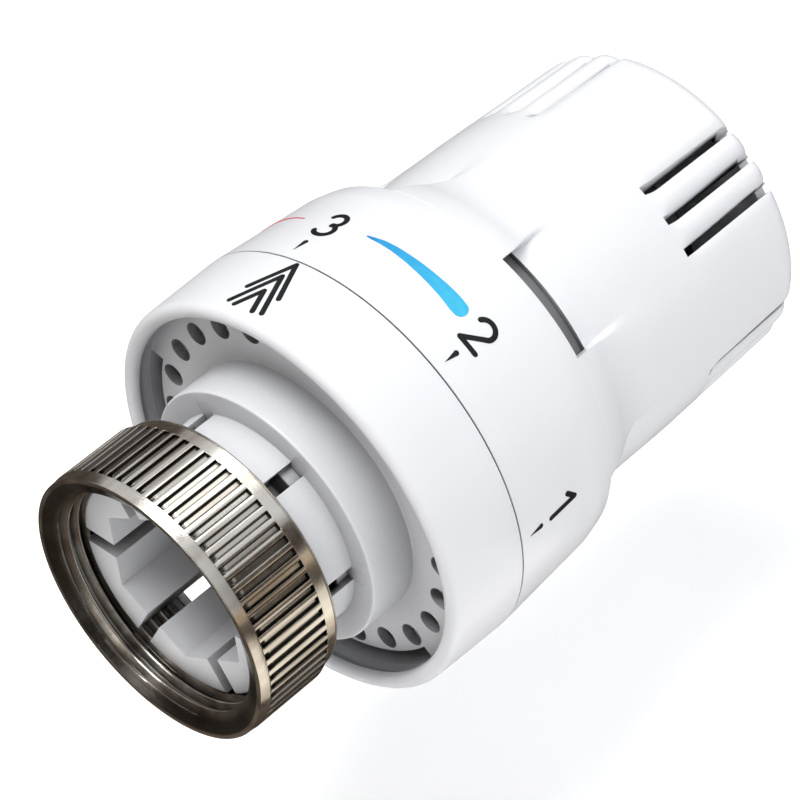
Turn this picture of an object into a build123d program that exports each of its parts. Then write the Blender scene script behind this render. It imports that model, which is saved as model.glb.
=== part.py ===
from build123d import *
import math
import os

# Thermostatic radiator valve head for an M30 x 1.5 valve body, in millimetres.
# X runs along the head's axis from the mouth of the union nut (X = 0) to the tip of the hand wheel.
# +Z is up and passes through the setting arrow. A "turn" of t degrees goes from +Z towards -Y.

# ---- driving dimensions: union nut ----
thread_minor_radius = 14.19
nut_radius = 17.0
nut_length = 12.3
nut_knurl_start = 1.5
nut_knurl_end = 10.2
nut_rear_band_radius = 16.6
nut_knurl_count = 68
nut_knurl_depth = 0.45
nut_thread_length = 3.7
nut_relief_radius = 14.9
nut_flange_station = 9.9
nut_flange_bore_radius = 13.75
nut_flange_land = 0.3
nut_rear_mouth_radius = 16.2

# ---- driving dimensions: collar and base housing ----
collar_front = 4.0
collar_lip_back = 8.0
collar_lip_radius = 13.95
collar_radius = 13.5
collar_socket_flats = 18.4
collar_slot_count = 6
collar_slot_turn = 39.5
collar_slot_width = 2.0
collar_slot_back = 16.2
socket_back = 15.0
chamber_front = 18.5
chamber_radius = 12.2
plunger_bore_radius = 5.1
boss_front = 18.0
boss_radius = 16.5
floor_front = 24.4
floor_thickness = 1.2
rim_front = 21.0
rim_radius = 25.6
rim_inner_radius = 24.2
rim_lip_radius = 23.6
seam_station = 31.6
seam_gap = 0.2
seam_radius = 25.85
vent_hole_count = 24
vent_hole_radius = 1.4
vent_hole_circle = 20.6
vent_hole_turn = 9.0
window_inner_radius = 22.3
window_centre_turn = 219.5
window_half_width = 77.5
sleeve_socket_back = 32.0
stop_rib_back = 34.0
stop_rib_inner = 18.2
stop_rib_outer = 20.8
stop_rib_width = 3.0

# ---- driving dimensions: hand wheel ----
shoulder_station = 45.6
shoulder_radius = 24.85
pocket_front = 48.3
pocket_back = 64.0
pocket_floor_radius = 20.95
pocket_width = 13.44
pocket_count = 5
pocket_turn = 50.0
grip_front_radius = 21.15
tip_station = 86.4
tip_edge_radius = 20.3
grip_bore_radius = 19.0
foot_slot_back = 51.8
foot_slot_width = 13.5
sleeve_foot_front = 50.65
sleeve_foot_radius = 20.4
finger_slot_front = 70.0
finger_slot_width = 1.05
finger_slot_spread = 11.8
finger_slot_turn = 54.0
finger_slot_floor = 17.95
finger_slot_lean = 17.0
cap_radius = 17.9
cap_front = 84.6
skirt_front = 28.6
skirt_radius = 23.85
skirt_bore = 22.4

# ---- driving dimensions: scale print ----
print_thickness = 0.08
mark_spacing = 360 / 7
mark_three_turn = -6.0
numeral_foot = 36.9
numeral_height = 4.7
numeral_stroke = 0.55
tick_front = 33.3
tick_back = 35.5
wedge_station = 39.5
wedge_thin_turn = 5.6
wedge_fat_turn = 38.3
wedge_fat_radius = 1.1

# ---- driving dimensions: mechanism ----
sleeve_radius = 15.5
sleeve_bore = 13.6
sleeve_back = 66.0
sleeve_slot_front = 36.0
sleeve_slot_width = 6.1
lug_count = 3
drive_bore = 17.5
drive_front = 36.0
drive_back = 62.0
carrier_front = 36.0
carrier_back = 55.0
carrier_radius = 13.5
carrier_bore = 11.2
carrier_lip = 38.0
lug_front = 41.0
lug_back = 49.0
lug_radius = 17.4
lug_width = 5.9
setting_low_turn = -199.8
setting_high_turn = 108.7
head_flange_radius = 11.1
head_flange_back = 40.0
neck_radius = 7.0
rod_radius = 2.5
can_front = 55.5
can_back = 78.0
can_radius = 12.6
can_wall = 0.6
retainer_front = 51.5
retainer_back = 53.0
circlip_back = 53.8
bellows_front = 57.0
bellows_back = 72.0
bellows_folds = 7
piston_back = 73.4
plunger_front = 12.5
plunger_flange_front = 26.0
plunger_back = 27.5


def turned(outline, arc=360, start_turn=0):
    """A solid of revolution about X from (station, radius) points; a part arc is centred on start_turn."""
    face = make_face(Polyline(*outline, close=True))
    solid = revolve(face, axis=Axis.X, revolution_arc=arc)
    # the outline lies at +Y, which is a turn of -90 degrees
    return Rot(X=start_turn + 90 - arc / 2) * solid if arc < 360 else solid


def tube(front, back, outer, inner):
    return turned([(front, inner), (back, inner), (back, outer), (front, outer)])


def disc(front, back, outer):
    return turned([(front, 0), (back, 0), (back, outer), (front, outer)])


def block(front, back, low, high, width):
    """A box that stands on the +Z side, from radius low to radius high."""
    centre = ((front + back) / 2, 0, (low + high) / 2)
    return Pos(*centre) * Box(back - front, width, high - low)


def at_turns(shape, turns):
    return [Rot(X=turn) * shape for turn in turns]


def evenly(count, first_turn=0):
    return [first_turn + 360 * i / count for i in range(count)]


def write(node, shape):
    solids = shape.solids()
    body = Compound(children=list(solids)) if len(solids) > 1 else solids[0]
    body.label = node
    export_step(body, f"parts/{node}.step")


# ---- union nut ----
def union_nut():
    """The knurled brass nut with its thread bored at the minor diameter."""
    crest = nut_radius + 0.15
    root = crest - nut_knurl_depth
    points = []
    for i in range(nut_knurl_count):
        step = 2 * math.pi / nut_knurl_count
        points.append((crest * math.cos(i * step), crest * math.sin(i * step)))
        points.append((root * math.cos((i + 0.5) * step), root * math.sin((i + 0.5) * step)))
    knurl_face = Plane.YZ * make_face(Polyline(*points, close=True))
    knurl = Pos(nut_knurl_start, 0, 0) * extrude(knurl_face, nut_knurl_end - nut_knurl_start)
    front_band = turned([
        (0, 0), (nut_knurl_start, 0), (nut_knurl_start, nut_radius + 0.1), (0.4, nut_radius),
        (0, nut_radius - 0.4)])
    rear_band = turned([
        (nut_knurl_end, 0), (nut_length, 0), (nut_length, nut_rear_band_radius - 0.4),
        (nut_length - 0.4, nut_rear_band_radius), (nut_knurl_end, nut_rear_band_radius)])
    thread_bore = disc(-1, nut_thread_length, thread_minor_radius)
    relief = disc(nut_thread_length, nut_flange_station, nut_relief_radius)
    flange_back = nut_flange_station + nut_flange_land
    rear_mouth = turned([
        (nut_flange_station, 0), (nut_length, 0), (nut_length, nut_rear_mouth_radius),
        (flange_back, nut_flange_bore_radius), (nut_flange_station, nut_flange_bore_radius)])
    return front_band + knurl + rear_band - thread_bore - relief - rear_mouth


def nut_snap_ring():
    """The split spring ring that holds the nut on the collar, between its lip and the nut's flange."""
    ring = tube(9.25, 9.85, nut_relief_radius - 0.1, collar_radius + 0.06)
    return ring - block(9, 10, 12, 16, 2.4)


# ---- base housing ----
def base_body():
    """Collar, boss, recessed floor and outer ring, turned in one outline."""
    floor_back = floor_front + floor_thickness
    lip_middle = (rim_lip_radius + rim_radius) / 2
    lip_back = rim_front + rim_radius - lip_middle
    rim_round = ThreePointArc((lip_back, rim_lip_radius), (rim_front, lip_middle), (lip_back, rim_radius))
    front_path = Polyline(
        (collar_front, 7.0), (collar_front, collar_lip_radius - 0.35),
        (collar_front + 0.35, collar_lip_radius), (collar_lip_back, collar_lip_radius),
        (collar_lip_back, collar_radius), (boss_front, collar_radius),
        (boss_front, boss_radius - 0.3), (boss_front + 0.3, boss_radius))
    floor_path = Polyline(
        (boss_front + 0.3, boss_radius), (floor_front, boss_radius), (floor_front, rim_inner_radius),
        (lip_back + 0.9, rim_inner_radius), (lip_back, rim_lip_radius))
    back_path = Polyline(
        (lip_back, rim_radius), (seam_station, seam_radius), (seam_station, rim_inner_radius),
        (30.6, rim_inner_radius), (30.6, rim_inner_radius + 0.55), (29.4, rim_inner_radius + 0.55),
        (29.4, rim_inner_radius), (floor_back, rim_inner_radius), (floor_back, 16.9),
        (sleeve_socket_back, 16.9), (sleeve_socket_back, sleeve_radius + 0.05),
        (floor_back, sleeve_radius + 0.05), (floor_back, chamber_radius),
        (chamber_front, chamber_radius), (chamber_front, plunger_bore_radius),
        (socket_back, plunger_bore_radius), (socket_back, 7.0), (collar_front, 7.0))
    face = make_face(Curve() + [front_path, floor_path, rim_round, back_path])
    return revolve(face, axis=Axis.X)


def base_housing():
    flats_turn = collar_slot_turn
    hexagon = Rot(X=flats_turn) * (
        Plane.YZ * RegularPolygon(collar_socket_flats / 2, 6, major_radius=False, rotation=0))
    socket = Pos(collar_front - 1, 0, 0) * extrude(hexagon, socket_back - collar_front + 1)
    slot = block(collar_front - 1, collar_slot_back, 6.0, 15.0, collar_slot_width)
    slot_pocket = block(collar_slot_back, boss_front, 12.6, 15.0, collar_slot_width)
    slot_turns = evenly(collar_slot_count, collar_slot_turn)
    vent = Pos(floor_front + 1, 0, vent_hole_circle) * Rot(Y=90) * Cylinder(vent_hole_radius, 6)
    window = turned([
        (floor_front - 0.1, window_inner_radius), (floor_front + 2, window_inner_radius),
        (floor_front + 2, rim_inner_radius), (floor_front - 0.1, rim_inner_radius)],
        arc=2 * window_half_width, start_turn=window_centre_turn)
    stop_rib = block(floor_front + 1, stop_rib_back, stop_rib_inner, stop_rib_outer, stop_rib_width)
    housing = base_body() - socket
    for cutter in at_turns(slot, slot_turns) + at_turns(slot_pocket, slot_turns):
        housing -= cutter
    for cutter in at_turns(vent, evenly(vent_hole_count, vent_hole_turn)):
        housing -= cutter
    return housing - window + Rot(X=stop_rib_turn()) * stop_rib


def stop_rib_turn():
    """The rib stands midway between two vent holes on the lower side."""
    return vent_hole_turn + 7.5 + 12 * 360 / vent_hole_count


def guide_sleeve():
    """The slotted tube that keeps the sensor carrier from turning."""
    sleeve = tube(floor_front + floor_thickness, sleeve_back, sleeve_radius, sleeve_bore)
    slot = block(sleeve_slot_front, sleeve_back + 1, 10, 20, sleeve_slot_width)
    for cutter in at_turns(slot, evenly(lug_count)):
        sleeve -= cutter
    return sleeve


def knob_retaining_ring():
    """The split ring that locks the hand wheel to the base; it sits in a groove of the outer ring."""
    ring = tube(29.4, 30.4, rim_inner_radius + 0.5, 23.3)
    return ring - block(29, 31, 20, 26, 4.0)


# ---- printed marks ----
def cone_shell(front, back, front_radius, back_radius, thickness):
    return turned([
        (front, front_radius), (back, back_radius), (back, back_radius + thickness),
        (front, front_radius + thickness)])


def stroke(points, width):
    """A line of the given width with square ends on the plane above the top of the head."""
    return trace(Polyline(*points), line_width=width)


def top_plane(turn_sketch):
    """Lays a sketch (x = to the reader's right, y = along the head's axis) over the top of the head."""
    return Plane(origin=(0, 0, 20), x_dir=(0, -1, 0), z_dir=(0, 0, 1)) * turn_sketch


def printed(sketch, skin):
    """The part of a thin skin that lies under an extruded sketch."""
    return extrude(top_plane(sketch), 8) & skin


def housing_arrows():
    """Three nested chevrons that point at the scale."""
    skin = cone_shell(rim_front + 1, seam_station, rim_radius, seam_radius, print_thickness)
    chevrons = [(31.2, 26.0, 2.45), (29.0, 23.3, 2.55), (26.2, 23.0, 1.45)]
    marks = []
    for apex, foot, half_width in chevrons:
        sketch = stroke([(-half_width, foot), (0, apex), (half_width, foot)], 0.55)
        marks.append(printed(sketch, skin))
    return Compound(children=marks)


def dial_skin():
    return cone_shell(
        seam_station + seam_gap, shoulder_station, seam_radius, shoulder_radius, print_thickness)


def numeral_sketch(name):
    """Plain numerals drawn about x = 0 with their feet at y = 0."""
    h = numeral_height
    w = 1.25
    lines = {
        "0": [[(-w, 1.3), (-w, h - 1.3), (-0.5, h), (0.5, h), (w, h - 1.3), (w, 1.3), (0.5, 0),
               (-0.5, 0), (-w, 1.3)]],
        "1": [[(-0.9, h - 1.2), (0.3, h), (0.3, 0)]],
        "2": [[(-w, h - 1.0), (-0.5, h), (0.6, h), (w, h - 0.9), (w, h - 1.7), (-w, 0), (w + 0.15, 0)]],
        "3": [[(-w, h - 0.6), (-0.4, h), (0.7, h), (w, h - 0.7), (w, h - 1.5), (0.2, h / 2 + 0.1),
               (w, h / 2 - 0.7), (w, 0.8), (0.6, 0), (-0.5, 0), (-w, 0.7)]],
        "4": [[(0.7, 0), (0.7, h), (-w - 0.1, 1.3), (w + 0.3, 1.3)]],
        "5": [[(w, h), (-w + 0.2, h), (-w, h / 2 + 0.1), (0.3, h / 2 + 0.4), (w, h / 2 - 0.5),
               (w, 1.0), (0.5, 0), (-0.5, 0), (-w, 0.7)]],
        "frost": [[(0, 0.5), (0, h - 0.5)], [(-1.5, 1.45), (1.5, h - 1.45)], [(-1.5, h - 1.45), (1.5, 1.45)]],
    }
    sketch = Sketch()
    for points in lines[name]:
        sketch += stroke(points, numeral_stroke)
    return Pos(0, numeral_foot) * sketch


def scale_marks():
    """Setting names with their turns, counted from 3, which is nearly under the arrow."""
    names = ["5", "4", "3", "2", "1", "frost", "0"]
    return [(name, mark_three_turn + (i - 2) * mark_spacing) for i, name in enumerate(names)]


def dial_numerals():
    skin = dial_skin()
    marks = []
    for name, turn in scale_marks():
        marks += [Rot(X=turn) * solid for solid in printed(numeral_sketch(name), skin).solids()]
    return Compound(children=marks)


def dial_ticks():
    skin = dial_skin()
    outline = [
        (0, tick_front), (0.34, tick_back - 0.45), (0.2, tick_back), (-0.2, tick_back),
        (-0.34, tick_back - 0.45)]
    tick = printed(make_face(Polyline(*outline, close=True)), skin).solids()[0]
    return Compound(children=at_turns(tick, [turn for name, turn in scale_marks()]))


def temperature_wedge(mirrored):
    """A long drop around the dial, thin beside 3 and fat beside the next number."""
    skin = dial_skin()
    steps = 12
    span = wedge_fat_turn - wedge_thin_turn
    sign = -1 if mirrored else 1
    pieces = []
    for i in range(steps):
        share = (i + 0.5) / steps
        width = 2 * (0.12 + (wedge_fat_radius - 0.12) * share ** 1.3)
        arc_length = math.radians(span / steps) * seam_radius
        cell = Pos(0, wedge_station) * Rectangle(arc_length, width)
        turn = wedge_thin_turn + span * share - mark_three_turn
        pieces.append(Rot(X=mark_three_turn + sign * turn) * printed(cell, skin).solids()[0])
    round_end = printed(Pos(0, wedge_station) * Circle(wedge_fat_radius), skin).solids()[0]
    end_turn = mark_three_turn + sign * (wedge_fat_turn - mark_three_turn)
    wedge = Rot(X=end_turn) * round_end
    for piece in pieces:
        wedge += piece
    return wedge


# ---- hand wheel ----
def knob_outline():
    """The outside of the hand wheel over its lobes: scale ring, shoulder, grip and rounded tip."""
    start = (seam_station + seam_gap, seam_radius)
    shoulder = (shoulder_station, shoulder_radius)
    crown = ThreePointArc(shoulder, (49.3, 23.9), (51.8, 22.9))
    hollow = ThreePointArc((51.8, 22.9), (54.6, 21.75), (59.0, grip_front_radius))
    tip_round_start = (tip_station - 2.4, tip_edge_radius)
    tip_end = (tip_station - 0.1, cap_radius + 0.1)
    tip_round = ThreePointArc(tip_round_start, (tip_station - 0.75, 19.5), tip_end)
    return [
        Polyline(start, shoulder), crown, hollow,
        Polyline((59.0, grip_front_radius), tip_round_start), tip_round]


def knob_blank():
    start = (seam_station + seam_gap, seam_radius)
    inside = Polyline(
        (tip_station - 0.1, cap_radius + 0.1), (cap_front, cap_radius + 0.1),
        (cap_front, grip_bore_radius - 0.9), (cap_front - 1.0, grip_bore_radius - 0.9),
        (cap_front - 1.0, grip_bore_radius), (46.9, grip_bore_radius),
        (46.7, 21.8), (43.4, 22.6), (skirt_front, skirt_bore), (skirt_front, skirt_radius),
        (29.2, skirt_radius), (29.2, 23.1), (30.7, 23.1), (30.7, skirt_radius),
        (seam_station + seam_gap, skirt_radius), start)
    return revolve(make_face(Curve() + knob_outline() + [inside]), axis=Axis.X)


def straight_sided(front, back, outer, inner, width):
    """A piece of a ring at the +Z side, cut off by two planes that stand the width apart."""
    return tube(front, back, outer, inner) & block(front, back, inner / 2, outer + 1, width)


def knob_shell():
    """Scale ring and grip in one moulding, with five pockets, foot slots and fifteen finger slots."""
    pocket = straight_sided(pocket_front, pocket_back, 27, pocket_floor_radius, pocket_width)
    foot_slot = straight_sided(pocket_front, foot_slot_back, 22, 18.5, foot_slot_width)
    finger_slot = block(finger_slot_front, tip_station + 1, finger_slot_floor, 24, finger_slot_width)
    # each slot leans over about its mouth, so that its floor lies at a higher turn
    about_mouth = Pos(0, 0, tip_edge_radius) * Rot(X=-finger_slot_lean) * Pos(0, 0, -tip_edge_radius)
    finger_slot = about_mouth * finger_slot
    shell = knob_blank()
    for cutter in at_turns(pocket, evenly(pocket_count, pocket_turn)):
        shell -= cutter
    for cutter in at_turns(foot_slot, evenly(pocket_count, pocket_turn)):
        shell -= cutter
    for side in (-1, 0, 1):
        turns = evenly(pocket_count, finger_slot_turn + side * finger_slot_spread)
        for cutter in at_turns(finger_slot, turns):
            shell -= cutter
    return shell


def end_cap():
    """The disc pressed into the open end of the grip."""
    rim_station = tip_station - 0.3
    crown_height = 0.7
    sphere_radius = (cap_radius ** 2 + crown_height ** 2) / (2 * crown_height)
    middle_drop = sphere_radius - math.sqrt(sphere_radius ** 2 - (cap_radius / 2) ** 2)
    crown = (rim_station + crown_height, 0)
    middle = (rim_station + crown_height - middle_drop, cap_radius / 2)
    dome = ThreePointArc((rim_station, cap_radius), middle, crown)
    rest = Polyline(
        crown, (cap_front + 0.2, 0), (cap_front + 0.2, cap_radius - 2), (cap_front, cap_radius - 2),
        (cap_front, cap_radius), (rim_station, cap_radius))
    return revolve(make_face(Curve() + [dome, rest]), axis=Axis.X)


def drive_sleeve():
    """The sleeve that turns the carrier: feet lock it into the grip, and a lug meets the base's stop rib."""
    sleeve = tube(drive_front, drive_back, grip_bore_radius - 0.05, drive_bore)
    flange = tube(drive_front, drive_front + 2, 22.0, drive_bore)
    rib_half_angle = math.degrees(math.asin(stop_rib_width / 2 / stop_rib_inner))
    lug_half_angle = (360 - (setting_high_turn - setting_low_turn)) / 2 - rib_half_angle - 0.5
    middle = (setting_high_turn + setting_low_turn) / 2
    lug = turned([
        (28.5, stop_rib_inner), (drive_front, stop_rib_inner), (drive_front, stop_rib_outer),
        (28.5, stop_rib_outer)],
        arc=2 * lug_half_angle, start_turn=stop_rib_turn() + 180 - middle)
    foot = straight_sided(
        sleeve_foot_front, foot_slot_back - 0.1, sleeve_foot_radius, drive_bore + 0.5, foot_slot_width - 0.2)
    sleeve += flange + lug
    for piece in at_turns(foot, evenly(pocket_count, pocket_turn)):
        sleeve += piece
    return sleeve


# ---- sensor carrier ----
def sensor_carrier():
    cup = turned([
        (carrier_front, 3.0), (carrier_lip, 3.0), (carrier_lip, carrier_bore), (carrier_back, carrier_bore),
        (carrier_back, carrier_radius), (carrier_front, carrier_radius)])
    lug = block(lug_front, lug_back, carrier_radius - 1.5, lug_radius + 1, lug_width)
    lug &= disc(lug_front, lug_back, lug_radius)
    for piece in at_turns(lug, evenly(lug_count)):
        cup += piece
    groove = tube(retainer_back, circlip_back, carrier_bore + 0.6, carrier_bore - 1)
    return cup - groove


def spring_retainer():
    return tube(retainer_front, retainer_back, carrier_bore, neck_radius + 0.3)


def retainer_circlip():
    clip = tube(retainer_back, circlip_back, carrier_bore + 0.55, 9.6)
    return clip - block(retainer_back - 1, circlip_back + 1, 8, 13, 6.0)


def coil(front, back, mean_radius, wire_radius, turns):
    """A round-wire compression spring along X."""
    travel = back - front - 2 * wire_radius
    path = Helix(pitch=travel / turns, height=travel, radius=mean_radius)
    wire = sweep(Plane(origin=path @ 0, z_dir=path % 0) * Circle(wire_radius), path=path, is_frenet=True)
    return Pos(front + wire_radius, 0, 0) * Rot(Y=90) * wire


# ---- sensor ----
def sensor_head():
    """Flange, neck and front plate of the liquid sensor, drilled for the push rod."""
    rod_bore = rod_radius + 0.1
    return turned([
        (carrier_lip, rod_bore), (bellows_front, rod_bore), (bellows_front, can_radius - can_wall),
        (can_front, can_radius - can_wall), (can_front, neck_radius), (head_flange_back, neck_radius),
        (head_flange_back, head_flange_radius), (carrier_lip, head_flange_radius)])


def sensor_can():
    inner = can_radius - can_wall
    return turned([
        (can_front, inner), (can_back - can_wall, inner), (can_back - can_wall, 0), (can_back, 0),
        (can_back, can_radius - 0.8), (can_back - 0.8, can_radius), (can_front, can_radius)])


def sensor_bellows():
    """Thin corrugated tube between the sensor head and the bellows plate."""
    length = bellows_back - bellows_front
    fold = length / bellows_folds
    outer, inner, wall = 9.4, 7.0, 0.3
    crest_line = [(bellows_front, inner + wall)]
    for i in range(bellows_folds):
        start = bellows_front + i * fold
        crest_line += [(start + fold * 0.5, outer), (start + fold * 0.95, inner + wall)]
    crest_line[-1] = (bellows_back, inner + wall)
    root_line = [(station, radius - wall) for station, radius in crest_line]
    return turned(crest_line + root_line[::-1])


def fill_tube():
    return disc(can_back, can_back + 1.6, 1.0)


# ---- push rod ----
def push_rod():
    return disc(plunger_back, bellows_back, rod_radius)


def bellows_plate():
    return disc(bellows_back, piston_back, 9.4)


def pressure_piece():
    """The plastic plunger that meets the valve's pin."""
    stem_round = 0.6
    return turned([
        (plunger_front, 0), (plunger_back, 0), (plunger_back, 8.5), (plunger_flange_front, 8.5),
        (plunger_flange_front, plunger_bore_radius - 0.1),
        (plunger_front + stem_round, plunger_bore_radius - 0.1),
        (plunger_front, plunger_bore_radius - 0.1 - stem_round)])


def main():
    os.makedirs("parts", exist_ok=True)
    write("base_housing", base_housing())
    write("guide_sleeve", guide_sleeve())
    write("knob_retaining_ring", knob_retaining_ring())
    write("housing_arrows", housing_arrows())
    write("nut_snap_ring", nut_snap_ring())
    write("union_nut", union_nut())
    write("knob_shell", knob_shell())
    write("end_cap", end_cap())
    write("drive_sleeve", drive_sleeve())
    write("dial_numerals", dial_numerals())
    write("dial_ticks", dial_ticks())
    write("dial_cold_wedge", temperature_wedge(mirrored=False))
    write("dial_warm_wedge", temperature_wedge(mirrored=True))
    write("sensor_carrier", sensor_carrier())
    write("overtravel_spring", coil(head_flange_back, retainer_front, 9.0, 0.7, 4.5))
    write("spring_retainer", spring_retainer())
    write("retainer_circlip", retainer_circlip())
    write("sensor_head", sensor_head())
    write("sensor_can", sensor_can())
    write("sensor_bellows", sensor_bellows())
    write("fill_tube", fill_tube())
    write("push_rod", push_rod())
    write("bellows_plate", bellows_plate())
    write("return_spring", coil(bellows_front, bellows_back, 4.6, 0.5, 8))
    write("pressure_piece", pressure_piece())


main()
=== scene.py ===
import math

import bmesh
import bpy
from mathutils import Matrix, Vector


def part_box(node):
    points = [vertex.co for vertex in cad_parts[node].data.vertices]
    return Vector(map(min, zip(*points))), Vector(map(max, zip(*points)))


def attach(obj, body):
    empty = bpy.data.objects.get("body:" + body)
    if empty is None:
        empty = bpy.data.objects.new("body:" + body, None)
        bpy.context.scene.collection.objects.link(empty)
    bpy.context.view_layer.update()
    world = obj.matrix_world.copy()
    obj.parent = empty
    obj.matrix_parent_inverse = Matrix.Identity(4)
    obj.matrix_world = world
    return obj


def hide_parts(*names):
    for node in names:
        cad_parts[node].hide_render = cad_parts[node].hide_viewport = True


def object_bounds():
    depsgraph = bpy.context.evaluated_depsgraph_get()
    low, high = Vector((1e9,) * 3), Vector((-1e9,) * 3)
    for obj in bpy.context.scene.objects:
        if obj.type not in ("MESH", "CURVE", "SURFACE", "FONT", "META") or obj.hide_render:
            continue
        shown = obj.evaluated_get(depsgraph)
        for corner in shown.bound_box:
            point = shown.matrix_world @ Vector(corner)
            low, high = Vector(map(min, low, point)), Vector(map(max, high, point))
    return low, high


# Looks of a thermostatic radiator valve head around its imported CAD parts.
# Shapes are written in millimetres as (station along X, radius, turn), the stage and materials in metres.
# A turn of t degrees goes from +Z to -Y. The pieces start from the boxes of the CAD nodes they stand for.

MM = 0.001
SMOOTH_ANGLE = 32

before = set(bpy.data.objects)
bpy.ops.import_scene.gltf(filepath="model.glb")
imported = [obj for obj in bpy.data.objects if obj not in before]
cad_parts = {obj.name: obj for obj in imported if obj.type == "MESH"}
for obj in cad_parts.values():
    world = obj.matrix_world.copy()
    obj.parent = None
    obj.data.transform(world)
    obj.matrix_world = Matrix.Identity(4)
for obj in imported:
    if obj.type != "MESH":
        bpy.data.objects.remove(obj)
cad_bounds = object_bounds()


def station_range(node):
    """First and last station of a CAD node, in millimetres."""
    low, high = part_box(node)
    return low.x / MM, high.x / MM


def outer_radius(node):
    """Radius of a round CAD node about the X axis, in millimetres."""
    low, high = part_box(node)
    return max(high.y, high.z, -low.y, -low.z) / MM


nut_front = station_range("union_nut")[0]
collar_front = station_range("base_housing")[0]
cap_back = station_range("end_cap")[1]
numeral_foot = station_range("dial_numerals")[0]
tick_front, tick_back = station_range("dial_ticks")


# ---- building meshes ----
def around(station, radius, turn):
    """The place in metres of a point given by its station, radius and turn."""
    angle = math.radians(turn)
    return Vector((station, -radius * math.sin(angle), radius * math.cos(angle))) * MM


def even_turns(count, first=0.0):
    return [first + 360.0 * i / count for i in range(count)]


def rounded_corner(before, corner, after, rounding, steps=4):
    """Points of a (station, radius) corner rounded off between its two neighbours."""
    here = Vector(corner)
    to_last = Vector(before) - here
    to_next = Vector(after) - here
    start = here + to_last.normalized() * min(rounding, to_last.length * 0.49)
    end = here + to_next.normalized() * min(rounding, to_next.length * 0.49)
    shares = [k / steps for k in range(steps + 1)]
    return [tuple(start * (1 - t) ** 2 + here * 2 * t * (1 - t) + end * t * t) for t in shares]


def filleted(corners, steps=4):
    """Rounds each (station, radius, rounding) corner of a closed outline."""
    outline = []
    for i, (station, radius, rounding) in enumerate(corners):
        if rounding == 0:
            outline.append((station, radius))
        else:
            after = corners[(i + 1) % len(corners)][:2]
            outline += rounded_corner(corners[i - 1][:2], (station, radius), after, rounding, steps)
    return outline


def arc_through(a, b, c, steps):
    """Points on the circle through three (station, radius) points, from a to c."""
    ax, ay = a
    bx, by = b
    cx, cy = c
    a_square = ax ** 2 + ay ** 2
    b_square = bx ** 2 + by ** 2
    c_square = cx ** 2 + cy ** 2
    area = 2 * (ax * (by - cy) + bx * (cy - ay) + cx * (ay - by))
    hub_x = (a_square * (by - cy) + b_square * (cy - ay) + c_square * (ay - by)) / area
    hub_y = (a_square * (cx - bx) + b_square * (ax - cx) + c_square * (bx - ax)) / area
    radius = math.hypot(ax - hub_x, ay - hub_y)
    start = math.atan2(ay - hub_y, ax - hub_x)
    middle = math.atan2(by - hub_y, bx - hub_x)
    end = math.atan2(cy - hub_y, cx - hub_x)
    while abs(middle - start) > math.pi:
        middle += math.copysign(2 * math.pi, start - middle)
    while abs(end - middle) > math.pi:
        end += math.copysign(2 * math.pi, middle - end)
    angles = [start + (end - start) * k / steps for k in range(steps + 1)]
    return [(hub_x + radius * math.cos(a), hub_y + radius * math.sin(a)) for a in angles]


def joined_up(mesh, dissolve):
    """Merges doubled points, drops empty faces if asked to, and turns every face outwards."""
    held = bmesh.new()
    held.from_mesh(mesh)
    bmesh.ops.remove_doubles(held, verts=held.verts, dist=2e-7)
    if dissolve:
        bmesh.ops.dissolve_degenerate(held, dist=1e-7, edges=held.edges)
    bmesh.ops.recalc_face_normals(held, faces=held.faces)
    held.to_mesh(mesh)
    held.free()


def mesh_object(name, points, faces, material, smooth_angle=SMOOTH_ANGLE, groove=()):
    """An object from points and faces; groove is a painted shade value for each point that the nickel reads.
    """
    mesh = bpy.data.meshes.new(name)
    mesh.from_pydata(points, [], faces)
    if groove:
        layer = mesh.attributes.new("groove", "FLOAT", "POINT")
        layer.data.foreach_set("value", groove)
    joined_up(mesh, dissolve=not groove)
    shade(mesh, smooth_angle)
    obj = bpy.data.objects.new(name, mesh)
    bpy.context.scene.collection.objects.link(obj)
    if material:
        mesh.materials.append(material)
    return obj


def shade(mesh, smooth_angle):
    """Smooth shading that stays sharp where faces meet at more than the angle."""
    mesh.polygons.foreach_set("use_smooth", [True] * len(mesh.polygons))
    mesh.set_sharp_from_angle(angle=math.radians(smooth_angle))


def grid_faces(columns, rows):
    """Quads between columns that close round the axis, each a closed loop of rows."""
    faces = []
    for i in range(columns):
        j = (i + 1) % columns
        for k in range(rows):
            m = (k + 1) % rows
            faces.append((i * rows + k, i * rows + m, j * rows + m, j * rows + k))
    return faces


def lathe(name, outline, material, columns):
    """A closed outline of (station, radius) turned about the axis."""
    points = [around(s, r, turn) for turn in even_turns(columns) for s, r in outline]
    return mesh_object(name, points, grid_faces(columns, len(outline)), material)


def upright(half_width, low, high):
    """A rectangle of (across, up) standing on the +Z side, from one height to another."""
    return [(-half_width, low), (half_width, low), (half_width, high), (-half_width, high)]


def prism(name, section, front, back):
    """A cutter: a closed (across, up) section from one station to another, standing on the +Z side."""
    count = len(section)
    points = [Vector((s, across, up)) * MM for s in (front, back) for across, up in section]
    faces = [tuple(range(count)), tuple(range(2 * count - 1, count - 1, -1))]
    faces += [(i, (i + 1) % count, (i + 1) % count + count, i + count) for i in range(count)]
    return mesh_object(name, points, faces, None)


def sector(name, front, back, inner, outer, low_turn, high_turn, steps):
    """A cutter: part of a ring between two turns."""
    points = []
    section = ((front, inner), (back, inner), (back, outer), (front, outer))
    for k in range(steps + 1):
        turn = low_turn + (high_turn - low_turn) * k / steps
        points += [around(s, r, turn) for s, r in section]
    faces = [(0, 1, 2, 3), tuple(4 * steps + k for k in (3, 2, 1, 0))]
    for k in range(steps):
        for m in range(4):
            n = (m + 1) % 4
            faces.append((4 * k + m, 4 * k + n, 4 * k + 4 + n, 4 * k + 4 + m))
    return mesh_object(name, points, faces, None)


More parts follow.
